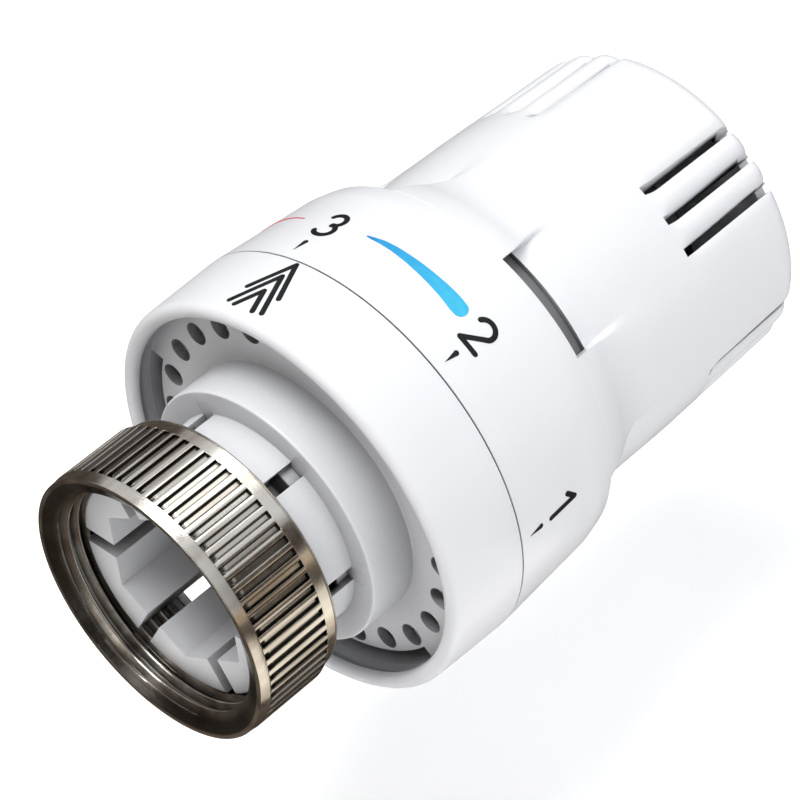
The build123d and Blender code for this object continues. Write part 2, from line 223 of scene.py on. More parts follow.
def copies_at(obj, turns):
    """One mesh made of the object turned to each place about the axis."""
    joined = bmesh.new()
    for turn in turns:
        part = bmesh.new()
        part.from_mesh(obj.data)
        bmesh.ops.transform(part, matrix=Matrix.Rotation(math.radians(turn), 4, "X"), verts=part.verts)
        held = bpy.data.meshes.new("held")
        part.to_mesh(held)
        joined.from_mesh(held)
        part.free()
        bpy.data.meshes.remove(held)
    joined.to_mesh(obj.data)
    joined.free()
    return obj


def cut(obj, cutter, operation="DIFFERENCE"):
    """Cuts the cutter from the object, or joins the two, and removes the cutter."""
    change = obj.modifiers.new("cut", "BOOLEAN")
    change.object = cutter
    change.operation = operation
    change.solver = "MANIFOLD"
    held = bpy.context.evaluated_depsgraph_get()
    result = bpy.data.meshes.new_from_object(obj.evaluated_get(held))
    obj.modifiers.clear()
    old = obj.data
    obj.data = result
    bpy.data.meshes.remove(old)
    bpy.data.objects.remove(cutter)


def finish_piece(obj, body, cad_node, smooth_angle=SMOOTH_ANGLE):
    """Fixes a piece to its body in place of the CAD node it stands for."""
    shade(obj.data, smooth_angle)
    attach(obj, body)
    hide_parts(cad_node)


# ---- materials; lengths in metres ----
def node(tree, kind, inputs, **settings):
    """A shader node; each input is a value or the output socket that feeds it."""
    made = tree.nodes.new(kind)
    for key, value in settings.items():
        setattr(made, key, value)
    for key, value in inputs.items():
        if isinstance(value, bpy.types.NodeSocket):
            tree.links.new(value, made.inputs[key])
        else:
            made.inputs[key].default_value = value
    return made


def noise(tree, place, scale, detail=3.0, stretch=(1, 1, 1)):
    """Noise with the object's own coordinates in metres, optionally stretched."""
    mapped = node(tree, "ShaderNodeMapping", {"Vector": place, "Scale": stretch})
    made = node(tree, "ShaderNodeTexNoise", {"Vector": mapped.outputs[0], "Scale": scale, "Detail": detail})
    return made.outputs["Fac"]


def ramp(tree, factor, *stops):
    """A colour ramp of (position, colour) stops."""
    made = node(tree, "ShaderNodeValToRGB", {"Fac": factor})
    elements = made.color_ramp.elements
    for i, (position, colour) in enumerate(stops):
        element = elements[i] if i < len(elements) else elements.new(position)
        element.position = position
        element.color = (*colour, 1)
    return made.outputs["Color"]


def spread(tree, factor, low, high):
    """A factor of 0 to 1 spread between two values."""
    return node(tree, "ShaderNodeMapRange", {"Value": factor, "To Min": low, "To Max": high}).outputs[0]


def new_material(name):
    material = bpy.data.materials.new(name)
    material.use_nodes = True
    tree = material.node_tree
    tree.nodes.clear()
    place = node(tree, "ShaderNodeTexCoord", {}).outputs["Object"]
    shader = node(tree, "ShaderNodeBsdfPrincipled", {})
    node(tree, "ShaderNodeOutputMaterial", {"Surface": shader.outputs[0]})
    return material, tree, place, shader


def set_shader(tree, shader, **inputs):
    for key, value in inputs.items():
        socket = shader.inputs[key.replace("_", " ")]
        if isinstance(value, bpy.types.NodeSocket):
            tree.links.new(value, socket)
        else:
            socket.default_value = value


def bumped(tree, height, strength, distance, edge=0.0):
    """A bump over edges softened by the given radius in metres."""
    inputs = {"Height": height, "Strength": strength, "Distance": distance}
    if edge:
        inputs["Normal"] = node(tree, "ShaderNodeBevel", {"Radius": edge}, samples=6).outputs[0]
    return node(tree, "ShaderNodeBump", inputs).outputs[0]


def product(tree, first, second):
    """One number times another."""
    return node(tree, "ShaderNodeMath", {0: first, 1: second}, operation="MULTIPLY").outputs[0]


def multiplied(tree, first, second):
    """One colour or vector times another, channel by channel."""
    return node(tree, "ShaderNodeVectorMath", {0: first, 1: second}, operation="MULTIPLY").outputs[0]


def dimmed(tree, colour, level):
    """A colour scaled by a level."""
    made = node(tree, "ShaderNodeVectorMath", {0: colour}, operation="SCALE")
    tree.links.new(level, made.inputs["Scale"])
    return made.outputs[0]


def band(tree, value, low, high, blur):
    """One between two values and zero outside them, with a blurred edge at each."""
    rise = node(tree, "ShaderNodeMapRange", {"Value": value, "From Min": low - blur, "From Max": low})
    fall = node(tree, "ShaderNodeMapRange", {
        "Value": value, "From Min": high, "From Max": high + blur, "To Min": 1, "To Max": 0})
    return product(tree, rise.outputs[0], fall.outputs[0])


HOLLOW_LIGHT = 0.02
HOLLOW_BLUR_ALONG = 0.0002
HOLLOW_BLUR_ACROSS = 0.0006


def unlit(tree, place, colour, stations, radii):
    """Darkens a ring about the axis between two stations and two radii, which no studio light reaches."""
    station = node(tree, "ShaderNodeSeparateXYZ", {"Vector": place}).outputs["X"]
    flat = multiplied(tree, place, (0, 1, 1))
    radius = node(tree, "ShaderNodeVectorMath", {0: flat}, operation="LENGTH").outputs["Value"]
    along = band(tree, station, *stations, HOLLOW_BLUR_ALONG)
    across = band(tree, radius, *radii, HOLLOW_BLUR_ACROSS)
    return dimmed(tree, colour, spread(tree, product(tree, along, across), 1.0, HOLLOW_LIGHT))


def plastic(name, dark, light, roughness, coat=0.25, reach=0.0, painted_shade=(), hollow=None):
    """Moulded plastic with a faint flow pattern, fine texture and soft edges.

    Painted shade darkens corners within the given reach, set by (openness, brightness) pairs; the hollow is
    left unlit.
    """
    material, tree, place, shader = new_material(name)
    flow = noise(tree, place, 90.0, 4.0, (0.35, 1, 1))
    grain = noise(tree, place, 5200.0, 2.0)
    colour = ramp(tree, flow, (0.35, dark), (0.65, light))
    if painted_shade:
        # painted shade: ambient occlusion darkens the colour in corners and recesses
        openness = node(tree, "ShaderNodeAmbientOcclusion", {"Distance": reach}, samples=8).outputs["AO"]
        colour = multiplied(
            tree, colour, ramp(tree, openness, *((at, (level, level, level)) for at, level in painted_shade)))
    if hollow:
        colour = unlit(tree, place, colour, *hollow)
    set_shader(
        tree, shader, Base_Color=colour, Roughness=spread(tree, flow, roughness - 0.02, roughness + 0.02),
        Coat_Weight=coat, Coat_Roughness=0.12, IOR=1.5, Normal=bumped(tree, grain, 0.12, 0.00002, 0.00015))
    return material


def nickel(name):
    """Bright nickel with turned lines and painted reflection patches; the vertex layer "groove" paints shade
    into the hollows.
    """
    material, tree, place, shader = new_material(name)
    lines = noise(tree, place, 900.0, 3.0, (9, 0.5, 0.5))
    # painted reflection: dark and bright patches stretched along the axis stand in for the studio mirrored in
    # the nickel
    patches = noise(tree, place, 260.0, 2.0, (0.25, 1, 1))
    mottle = noise(tree, place, 1500.0, 3.0)
    reflection_dark, plain, bright = (0.42, 0.37, 0.32), (0.74, 0.70, 0.64), (0.86, 0.83, 0.78)
    colour = ramp(tree, patches, (0.30, reflection_dark), (0.52, plain), (0.72, bright))
    # painted shade: the groove layer darkens the knurl grooves, their run-outs and the thread roots
    groove = node(tree, "ShaderNodeAttribute", {}, attribute_name="groove").outputs["Fac"]
    set_shader(
        tree, shader, Base_Color=dimmed(tree, colour, spread(tree, groove, 1.0, 0.10)), Metallic=1.0,
        Roughness=spread(tree, mottle, 0.10, 0.26), Normal=bumped(tree, lines, 0.25, 0.00003, 0.00006))
    return material


def ink(name, colour_low, colour_high, thin_end=None):
    """Printed ink; thin_end is the colour towards +Y, where a drop runs out."""
    material, tree, place, shader = new_material(name)
    cloud = noise(tree, place, 700.0, 4.0)
    grain = noise(tree, place, 6000.0, 2.0)
    colour = ramp(tree, cloud, (0.3, colour_low), (0.7, colour_high))
    if thin_end:
        across = node(tree, "ShaderNodeSeparateXYZ", {"Vector": place}).outputs["Y"]
        run = node(tree, "ShaderNodeMapRange", {"Value": across, "From Min": -0.015, "From Max": -0.003})
        fade = ramp(tree, run.outputs[0], (0.0, (1.0, 1.0, 1.0)), (1.0, thin_end))
        colour = multiplied(tree, colour, fade)
    set_shader(
        tree, shader, Base_Color=colour, Specular_IOR_Level=0.25,
        Roughness=spread(tree, cloud, 0.42, 0.6), Normal=bumped(tree, grain, 0.2, 0.00001))
    return material


def metal(name, low, high, roughness, stretch=(1, 1, 1)):
    """Worked metal; the stretch lays its marks along or around the axis."""
    material, tree, place, shader = new_material(name)
    wear = noise(tree, place, 900.0, 4.0, stretch)
    set_shader(
        tree, shader, Base_Color=ramp(tree, wear, (0.3, low), (0.7, high)), Metallic=1.0,
        Roughness=spread(tree, wear, roughness - 0.06, roughness + 0.1),
        Normal=bumped(tree, wear, 0.15, 0.00003))
    return material


# (openness, brightness) of the painted shade in corners, and the (stations, radii) of the ring that is left
# unlit
KNOB_PAINTED_SHADE = ((0.08, 0.05), (0.30, 0.70), (0.50, 1.0))
KNOB_HOLLOW = ((0.0, 0.0838), (0.0, 0.0191))
BASE_PAINTED_SHADE = ((0.10, 0.05), (0.30, 0.50), (0.50, 0.70), (0.85, 1.0))
BASE_HOLLOW = ((0.0152, 0.0163), (0.0102, 0.0127))
KNOB_WHITES = (0.820, 0.828, 0.850), (0.830, 0.838, 0.860)
BASE_WHITES = (0.80, 0.808, 0.832), (0.812, 0.82, 0.844)
white_knob = plastic(
    "white_knob", *KNOB_WHITES, 0.32, reach=0.006, painted_shade=KNOB_PAINTED_SHADE, hollow=KNOB_HOLLOW)
white_cap = plastic("white_cap", *KNOB_WHITES, 0.32)
white_base = plastic(
    "white_base", *BASE_WHITES, 0.34, coat=0.1, reach=0.010, painted_shade=BASE_PAINTED_SHADE, hollow=BASE_HOLLOW)
inner_grey = plastic("inner_grey", (0.13, 0.13, 0.135), (0.17, 0.17, 0.175), 0.5, coat=0.0)
plunger_dark = plastic("plunger_dark", (0.24, 0.24, 0.25), (0.30, 0.30, 0.31), 0.42, coat=0.0)
nickel_plate = nickel("nickel_plate")
black_ink = ink("black_ink", (0.003, 0.003, 0.004), (0.008, 0.008, 0.009))
blue_ink = ink("blue_ink", (0.035, 0.43, 0.70), (0.055, 0.50, 0.76), thin_end=(0.25, 0.55, 0.80))
red_ink = ink("red_ink", (0.55, 0.02, 0.03), (0.70, 0.04, 0.05))
spring_steel = metal("spring_steel", (0.46, 0.46, 0.47), (0.60, 0.60, 0.61), 0.36)
TURNED = (6, 0.4, 0.4)
brass = metal("turned_brass", (0.56, 0.42, 0.20), (0.72, 0.56, 0.30), 0.36, TURNED)
copper = metal("drawn_copper", (0.60, 0.28, 0.16), (0.75, 0.38, 0.24), 0.36)
aluminium = metal("drawn_aluminium", (0.16, 0.16, 0.17), (0.24, 0.24, 0.25), 0.38, TURNED)

# CAD nodes that keep their own meshes, and their finishes
CARRIED_OVER = {
    "guide_sleeve": inner_grey, "knob_retaining_ring": spring_steel, "nut_snap_ring": spring_steel,
    "drive_sleeve": inner_grey, "sensor_carrier": inner_grey, "overtravel_spring": spring_steel,
    "spring_retainer": spring_steel, "retainer_circlip": spring_steel, "sensor_head": brass,
    "sensor_can": aluminium, "sensor_bellows": brass, "return_spring": spring_steel, "fill_tube": copper,
    "push_rod": plunger_dark, "bellows_plate": brass, "pressure_piece": plunger_dark}
for carried, finish in CARRIED_OVER.items():
    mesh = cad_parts[carried].data
    mesh.materials.clear()
    mesh.materials.append(finish)


# ---- union nut ----
KNURL_TEETH = 68
# one flank of a groove: share of the tooth pitch from its middle, share of its depth, how much painted shade
# it gets there
KNURL_FLANK = ((0.12, 1.0, 0.3), (0.17, 1.0, 1.0), (0.20, 0.95, 1.25), (0.25, 0.45, 1.0), (0.29, 0.04, 0.5))
KNURL_CREST = ((0.33, 0.0, 0.0), (0.5, 0.0, 0.0), (0.67, 0.0, 0.0))
KNURL_FRONT = 1.5
KNURL_BACK = 10.2
KNURL_DEPTH = 0.42
PIT_STATION = 1.95
PIT_DEPTH = 0.22
THREAD_PITCH = 1.5
THREAD_RADIUS = 14.19
THREAD_DEPTH = 0.80
THREAD_BACK = 8.9
THREAD_STEP = 0.125


def knurl_columns():
    """(place in teeth, depth share, painted shade) of every column round the nut."""
    far_flank = [(1 - share, depth, dark) for share, depth, dark in reversed(KNURL_FLANK)]
    tooth_columns = [(0.0, 1.0, 0.25), *KNURL_FLANK, *KNURL_CREST, *far_flank]
    teeth = range(KNURL_TEETH)
    return [(tooth + share, depth, dark) for tooth in teeth for share, depth, dark in tooth_columns]


def knurl_cut(station, depth):
    """How deep a groove lies below the crest, with a small pit where it starts."""
    run_out = min(1.0, max(0.0, (station - KNURL_FRONT) / 0.25))
    pit = PIT_DEPTH * max(0.0, 1 - abs(station - PIT_STATION) / 0.5)
    return run_out * depth * (KNURL_DEPTH + pit)


def knurl_end(station, depth):
    """How near a groove's end the station is, from 0 to 1 for a full groove."""
    at_pit = max(0.0, 1 - abs(station - PIT_STATION) / 0.55)
    at_back = max(0.0, 1 - (KNURL_BACK - station) / 0.35)
    return depth * at_pit + depth * at_back


def thread_radius(station, turn):
    """Inside of the nut: an M30 x 1.5 thread behind a conical mouth."""
    phase = (station / THREAD_PITCH - turn / 360.0) % 1.0
    rise = abs(phase - 0.5) * 2
    thread = THREAD_RADIUS + THREAD_DEPTH * min(1.0, max(0.0, (rise - 0.14) / 0.68))
    return max(thread, 16.5 - station * 2.0)


def thread_column(turn):
    """(station, radius, painted shade) down the thread, on stations that follow its helix; points farther
    from the axis get more shade.
    """
    helix = THREAD_PITCH * turn / 360.0
    column = []
    for k in range(100):
        station = min(max(helix - THREAD_PITCH + k * THREAD_STEP, 0.08), THREAD_BACK)
        radius = thread_radius(station, turn)
        column.append((station, radius, 0.15 + 0.75 * min(1.0, radius - THREAD_RADIUS)))
    return column


def union_nut():
    crest = outer_radius("union_nut")
    back_rows = [(12.3, 16.2)] + rounded_corner((12.3, 16.2), (12.3, 16.6), (10.3, 16.6), 0.25)
    back_rows += [(12.05, 16.6), (11.98, 16.52), (11.9, 16.6), (10.35, 16.6), (10.25, 16.5), (10.21, crest)]
    knurl_stations = [KNURL_BACK, 9.9, 9.2, 8.0, 6.5, 5.0, 3.6, 2.8, 2.5, 2.2, 2.0, 1.8, 1.65, KNURL_FRONT]
    front_rows = [(1.48, crest - 0.02), (1.42, crest - 0.05)]
    front_rows += rounded_corner((1.4, crest - 0.05), (0.0, crest - 0.14), (0.0, 16.5), 0.16) + [(0.0, 16.55)]
    inner_rows = [(THREAD_BACK + 0.02, 14.9), (9.9, 14.9), (9.92, 13.8), (9.97, 13.75), (10.2, 13.75)]
    points = []
    groove = []
    columns = knurl_columns()
    for place, depth, dark in columns:
        turn = place * 360.0 / KNURL_TEETH
        column = [(s, r, 0.0) for s, r in back_rows]
        for s in knurl_stations:
            # painted shadow where the grooves run out at the pit and at the back, on top of the flank shade
            column.append((s, crest - knurl_cut(s, depth), dark + 1.3 * knurl_end(s, depth)))
        column += [(s, r, 0.0) for s, r in front_rows]
        column += thread_column(turn)
        # painted shade on the inside of the nut behind the thread
        column += [(s, r, 0.6) for s, r in inner_rows]
        points += [around(nut_front + s, r, turn) for s, r, shadow in column]
        groove += [shadow for s, r, shadow in column]
    faces = grid_faces(len(columns), len(points) // len(columns))
    nut = mesh_object("nickel_union_nut", points, faces, nickel_plate, groove=groove)
    finish_piece(nut, "nut", "union_nut", 24)


# ---- base housing ----
COLLAR_RADIUS = 13.5
COLLAR_BORE = 12.2
SOCKET_FLOOR = 15.0
BOSS_RADIUS = 16.5
BOSS_FRONT = 18.0
RECESS_RADIUS = 24.2
RECESS_FLOOR = 24.4
SEAM_END = 31.705
SLOT_TURN = 39.5
SLOT_HALF_WIDTH = 1.0
VENT_COUNT = 24
VENT_TURN = 9.0
VENT_RADIUS = 1.45
VENT_RING_RADIUS = 20.6
WINDOW_MIDDLE = 219.5
WINDOW_HALF = 77.5


def housing_outline():
    """The moulding's closed outline, from the bore of the collar outwards and back along the inside."""
    rim = [(s, r, 0.0) for s, r in arc_through((22.0, 23.6), (21.0, 24.6), (22.0, 25.6), 16)]
    collar = [(4.0, 7.0, 0.0), (4.0, 13.95, 0.45), (8.0, 13.95, 0.12), (8.0, COLLAR_RADIUS, 0.06)]
    boss = [
        (BOSS_FRONT, COLLAR_RADIUS, 0.12), (BOSS_FRONT, BOSS_RADIUS, 0.3), (RECESS_FLOOR, BOSS_RADIUS, 0.2)]
    recess = [(RECESS_FLOOR, RECESS_RADIUS, 0.25), (22.9, RECESS_RADIUS, 0.3)]
    ring = [(26.7, 25.73, 0.0), (SEAM_END, 25.85, 0.04), (SEAM_END, RECESS_RADIUS, 0.0)]
    snap_groove = [
        (30.6, RECESS_RADIUS, 0.0), (30.6, 24.75, 0.0), (29.4, 24.75, 0.0), (29.4, RECESS_RADIUS, 0.0)]
    inner_tube = [
        (25.6, RECESS_RADIUS, 0.0), (25.6, 16.9, 0.0), (32.0, 16.9, 0.0), (32.0, 15.55, 0.0),
        (25.6, 15.55, 0.0)]
    bore = [
        (25.6, COLLAR_BORE, 0.0), (18.5, COLLAR_BORE, 0.0), (18.5, 5.1, 0.0), (SOCKET_FLOOR, 5.1, 0.0),
        (SOCKET_FLOOR, 7.0, 0.0)]
    return filleted(collar + boss + recess + rim + ring + snap_groove + inner_tube + bore)


def base_housing():
    x = collar_front - 4.0
    housing = lathe("white_base_housing", [(x + s, r) for s, r in housing_outline()], white_base, 288)
    corner_radius = 9.2 / math.cos(math.pi / 6)
    corner_angles = [math.radians(30 + 60 * k) for k in range(6)]
    hexagon = [(corner_radius * math.sin(a), corner_radius * math.cos(a)) for a in corner_angles]
    cut(housing, copies_at(prism("socket", hexagon, x + 3, x + SOCKET_FLOOR), [SLOT_TURN]))
    six = even_turns(6, SLOT_TURN)
    slot = upright(SLOT_HALF_WIDTH, 6.0, 15.0)
    cut(housing, copies_at(prism("slot", slot, x + 3, x + 16.2), six))
    hollow = upright(SLOT_HALF_WIDTH, 12.6, 15.0)
    cut(housing, copies_at(prism("hollow", hollow, x + 16.1, x + BOSS_FRONT + 0.02), six))
    vent = [
        (VENT_RADIUS * math.sin(math.radians(a)), VENT_RING_RADIUS + VENT_RADIUS * math.cos(math.radians(a)))
        for a in range(0, 360, 15)]
    cut(housing, copies_at(prism("vent", vent, x + 23, x + 27), even_turns(VENT_COUNT, VENT_TURN)))
    window_ends = WINDOW_MIDDLE - WINDOW_HALF, WINDOW_MIDDLE + WINDOW_HALF
    cut(housing, sector("window", x + 24.3, x + 26, 22.4, RECESS_RADIUS + 0.01, *window_ends, 80))
    stop_rib = upright(1.5, 18.2, 20.8)
    cut(housing, copies_at(prism("rib", stop_rib, x + 25.3, x + 34), [VENT_TURN + 187.5]), "UNION")
    finish_piece(housing, "base", "base_housing", 30)


# ---- hand wheel ----
LOBES = 5
LOBE_HALF = 36.0
POCKET_TURN = 50.0
POCKET_HALF_WIDTH = 6.72
POCKET_EDGE = 48.3
POCKET_FLOOR = 20.95
POCKET_HALF = math.degrees(math.asin(POCKET_HALF_WIDTH / POCKET_FLOOR))
FOOT_SLOT_END = 51.8
GRIP_RADIUS = 20.3
FINGER_TURN = 54.0
FINGER_SPREAD = 11.8
FINGER_FRONT = 70.0
FINGER_FADE = 69.8
FINGER_HALF_WIDTH = 0.55
FINGER_LEAN = 22.0
RIB_ROUNDING = 2.1
KNOB_TIP = arc_through((84.0, GRIP_RADIUS), (85.65, 19.5), (86.3, 18.0), 12)


def knob_profile():
    """Outside of the wheel's lobes as (station, radius), from the seam to the tip."""
    crown = arc_through((45.6, 24.85), (49.3, 23.9), (51.8, 22.9), 24)
    hollow = arc_through((51.8, 22.9), (54.6, 21.75), (59.0, 21.15), 24)
    return [(31.8, 25.85)] + crown + hollow[1:] + KNOB_TIP


def between(line, station):
    """Radius at a station of a line of (station, radius) points."""
    for (s0, r0), (s1, r1) in zip(line, line[1:]):
        if s0 <= station <= s1:
            return r0 + (r1 - r0) * (station - s0) / max(s1 - s0, 1e-9)
    return line[-1][1]


def smooth(value):
    """A step from 0 to 1 with soft ends."""
    value = min(1.0, max(0.0, value))
    return value * value * (3 - 2 * value)


def rib_drop(finger_away):
    """How far the rounded ribs between the finger slots fall away, by turn from the middle slot."""
    away = abs(finger_away)
    length_per_degree = math.pi * 20.4 / 180
    if away < FINGER_SPREAD:
        from_middle = abs(away - FINGER_SPREAD / 2) * length_per_degree
        return RIB_ROUNDING - math.sqrt(max(0.0, RIB_ROUNDING ** 2 - min(from_middle, 2.0) ** 2))
    beyond = (away - FINGER_SPREAD) * length_per_degree
    return 0.70 * max(0.0, 1 - beyond / 1.7) ** 2


def knob_radius(profile, station, away, finger_away):
    """Radius of the wheel; away is the distance in degrees from the middle of the nearest pocket."""
    lobe = between(profile, station)
    if station > POCKET_EDGE:
        fade = smooth((station - 51.0) / 11.0)
        half = 0.15 + 3.5 * fade
        inside = 1 - smooth((abs(away) - POCKET_HALF + half) / (2 * half))
        floor = min(lobe, POCKET_FLOOR)
        lobe = lobe + (floor - lobe) * inside
    if station > FINGER_FADE:
        lobe -= smooth((station - FINGER_FADE) / 2.4) * rib_drop(finger_away)
    return lobe


def straightened(away, radius):
    """The real turn of a column, which keeps the pocket walls parallel as the radius grows."""
    edge = math.degrees(math.asin(POCKET_HALF_WIDTH / max(radius, POCKET_FLOOR)))
    if abs(away) < POCKET_HALF:
        return away * edge / POCKET_HALF
    rest = (LOBE_HALF - abs(away)) * (LOBE_HALF - edge) / (LOBE_HALF - POCKET_HALF)
    return math.copysign(LOBE_HALF - rest, away)


def knob_columns():
    """Turns across one of the five lobes, closer together at pocket edges and finger slots."""
    offsets = [-LOBE_HALF + 1.5 * k for k in range(48)]
    edge_steps = (0.0, 0.08, 0.16, 0.4, 0.8, 1.3, 2, 3, 4)
    for side in (-1, 1):
        offsets += [side * (POCKET_HALF + step * sign) for sign in (-1, 1) for step in edge_steps]
    slot_steps = (0, 1.5, 1.9, 2.4, 2.9, 3.5, 4.1, 4.8, 5.9)
    for side in (-1, 0, 1):
        middle = FINGER_TURN - POCKET_TURN + side * FINGER_SPREAD
        offsets += [middle + step * sign for sign in (-1, 1) for step in slot_steps]
    kept = []
    for offset in sorted(offsets):
        if not kept or offset - kept[-1] > 0.07:
            kept.append(offset)
    return kept


def knob_column(profile, away):
    """(station, radius) points of one column: along the outside to the tip and back along the inside."""
    ring = [31.77, 31.9, 33, 35, 37, 39, 41, 43, 44.6, 45.6, 46.2, 46.8, 47.3, 47.7, 48.0, 48.15, 48.25]
    hollow = [
        48.8, 49.6, 50.4, 51.0, 51.4, 51.8, 52.2, 52.6, 53.1, 53.6, 54.2, 54.8, 55.5, 56.2, 57.0, 57.8,
        58.6, 59.5]
    grip = [
        60.5, 61.5, 62.5, 63.5, 65, 67, 69, FINGER_FADE, 70.2, 70.6, 71, 71.5, 72, 72.5, 73, 75, 77, 79,
        81, 83]
    end = [(84.6, 18.0), (83.6, 18.1), (83.6, 19.0)]
    inside = [(46.9, 19.0), (46.7, 21.8), (43.4, 22.6), (28.6, 22.4)]
    snap_groove = [(28.6, 23.85), (29.2, 23.85), (29.2, 23.1), (30.7, 23.1), (30.7, 23.85)]
    front = [(31.72, 23.85), (31.72, 25.81)]
    finger_away = away - (FINGER_TURN - POCKET_TURN)
    edge = knob_radius(profile, POCKET_EDGE, away, finger_away)
    inner_edge = knob_radius(profile, POCKET_EDGE + 0.001, away, finger_away)
    step = edge - inner_edge
    column = [(s, between(profile, s)) for s in ring]
    column += [
        (POCKET_EDGE, edge - min(0.06, step)), (POCKET_EDGE + 0.04, edge - min(0.2, step)),
        (POCKET_EDGE + 0.06, inner_edge)]
    column += [(s, knob_radius(profile, s, away, finger_away)) for s in hollow + grip]
    end_drop = between(profile, 84.0) - knob_radius(profile, 84.0, away, finger_away)
    for k, (s, r) in enumerate(KNOB_TIP):
        column.append((s, r - end_drop * (1 - k / (len(KNOB_TIP) - 1)) ** 0.5))
    return column + end + inside + snap_groove + front


def knob_shell():
    profile = knob_profile()
    lobe_columns = knob_columns()
    columns = [(turn, away) for turn in even_turns(LOBES, POCKET_TURN) for away in lobe_columns]
    points = []
    for middle, away in columns:
        for s, r in knob_column(profile, away):
            walls_radius = r if s < 60 else 0.0
            points.append(around(s, r, middle + straightened(away, walls_radius)))
    faces = grid_faces(len(columns), len(points) // len(columns))
    knob = mesh_object("white_knob_shell", points, faces, white_knob)
    foot = upright(POCKET_HALF_WIDTH - 0.06, 17.0, 22.0)
    foot_slots = prism("foot", foot, POCKET_EDGE + 0.08, FOOT_SLOT_END)
    cut(knob, copies_at(foot_slots, even_turns(LOBES, POCKET_TURN)))
    lean = math.tan(math.radians(FINGER_LEAN))
    corners = ((-1, 17.95), (1, 17.95), (1, 24), (-1, 24))
    finger = [(side * FINGER_HALF_WIDTH + (up - GRIP_RADIUS) * lean, up) for side, up in corners]
    turns = [turn + side * FINGER_SPREAD for turn in even_turns(LOBES, FINGER_TURN) for side in (-1, 0, 1)]
    cut(knob, copies_at(prism("finger", finger, FINGER_FRONT, 87.5), turns))
    finish_piece(knob, "hand_wheel", "knob_shell", 30)


def end_cap():
    top = cap_back
    outline = filleted([
        (top, 0.0, 0.0), (top - 0.18, 9.0, 2.0), (top - 0.7, 17.88, 0.25), (top - 2.2, 17.88, 0.0),
        (top - 2.2, 15.9, 0.0), (top - 2.0, 15.9, 0.0), (top - 2.0, 0.0, 0.0)], 5)
    cap = lathe("white_end_cap", outline, white_cap, 192)
    finish_piece(cap, "hand_wheel", "end_cap")


# ---- printed marks ----
STROKE = 0.65
FILM = 0.045
SUNK = -0.03
ROUND_END_STEPS = 8


def dial_surface(station):
    """Radius of the scale ring or of the housing's outer ring."""
    if station <= SEAM_END:
        return 25.6 + (station - 22.0) * 0.25 / 9.6
    return 25.85 - (station - 31.8) / 13.8


def on_dial(across, station, turn, lift):
    """A point of a print: across in mm towards the reader's right, at a station, on the mark's own turn."""
    radius = dial_surface(station)
    return around(station, radius + lift, turn + math.degrees(across / radius))


class Print:
    """Ink laid on the dial as thin raised ribbons and patches."""

    def __init__(self):
        self.points = []
        self.faces = []

    def patch(self, outline, turn):
        """A filled convex outline of (across, station)."""
        base = len(self.points)
        count = len(outline)
        middle = (sum(a for a, s in outline) / count, sum(s for a, s in outline) / count)
        for lift in (FILM, SUNK):
            self.points += [on_dial(a, s, turn, lift) for a, s in outline]
        self.points.append(on_dial(*middle, turn, FILM))
        for k in range(count):
            n = (k + 1) % count
            self.faces.append((base + k, base + n, base + 2 * count))
            self.faces.append((base + k, base + count + k, base + count + n, base + n))

    def line(self, path, turn):
        """A stroke with round ends and joints along (across, station) points."""
        for (a0, s0), (a1, s1) in zip(path, path[1:]):
            along = math.atan2(s1 - s0, a1 - a0)
            outline = []
            for end_across, end_station, side in ((a0, s0, 1), (a1, s1, -1)):
                for k in range(ROUND_END_STEPS + 1):
                    angle = along + side * math.pi / 2 + math.pi * k / ROUND_END_STEPS
                    across = end_across + STROKE / 2 * math.cos(angle)
                    outline.append((across, end_station + STROKE / 2 * math.sin(angle)))
            self.patch(outline, turn)

    def build(self, name, material, body, cad_node):
        obj = mesh_object(name, self.points, self.faces, material, 40)
        finish_piece(obj, body, cad_node, 40)


def bow(centre, radius_x, radius_y, start, end, steps=14):
    """Points on an ellipse from one angle to another, in degrees from the reader's right."""
    cx, cy = centre
    angles = [math.radians(start + (end - start) * k / steps) for k in range(steps + 1)]
    return [(cx + radius_x * math.cos(a), cy + radius_y * math.sin(a)) for a in angles]


def numeral_paths():
    """Rounded numerals about x = 0 with their feet at y = 0, 4.2 mm tall along the stroke's middle."""
    h = 4.2
    top_bow_of_3 = bow((-0.05, h - 1.08), 1.15, 1.08, 155, -80, 16)
    return {
        "0": [bow((0, h / 2), 1.2, h / 2, 90, 450, 36)],
        "1": [[(-0.95, h - 1.15), (0.25, h), (0.25, 0)]],
        "2": [bow((0, h - 1.2), 1.25, 1.2, 160, -25, 16) + [(-1.2, 0.0), (1.35, 0.0)]],
        "3": [top_bow_of_3 + bow((-0.05, 1.13), 1.3, 1.13, 80, -155, 16)],
        "4": [[(0.65, 0), (0.65, h), (-1.35, 1.15), (1.4, 1.15)]],
        "5": [[(1.15, h), (-0.95, h), (-1.15, h / 2 + 0.15)] + bow((-0.05, 1.32), 1.3, 1.3, 125, -150, 18)],
        "frost": [
            [(0, 0.35), (0, h - 0.35)], [(-1.35, 1.3), (1.35, h - 1.3)], [(-1.35, h - 1.3), (1.35, 1.3)]]}


MARK_NAMES = ("5", "4", "3", "2", "1", "frost", "0")
MARK_SPACING = 360.0 / 7
THREE_TURN = -6.0
TICK_HALF_WIDTH = 0.33
TICK_ROUNDING = 0.36


def mark_turns():
    """(name, turn) of each mark with the wheel at rest."""
    return [(name, THREE_TURN + (i - 2) * MARK_SPACING) for i, name in enumerate(MARK_NAMES)]


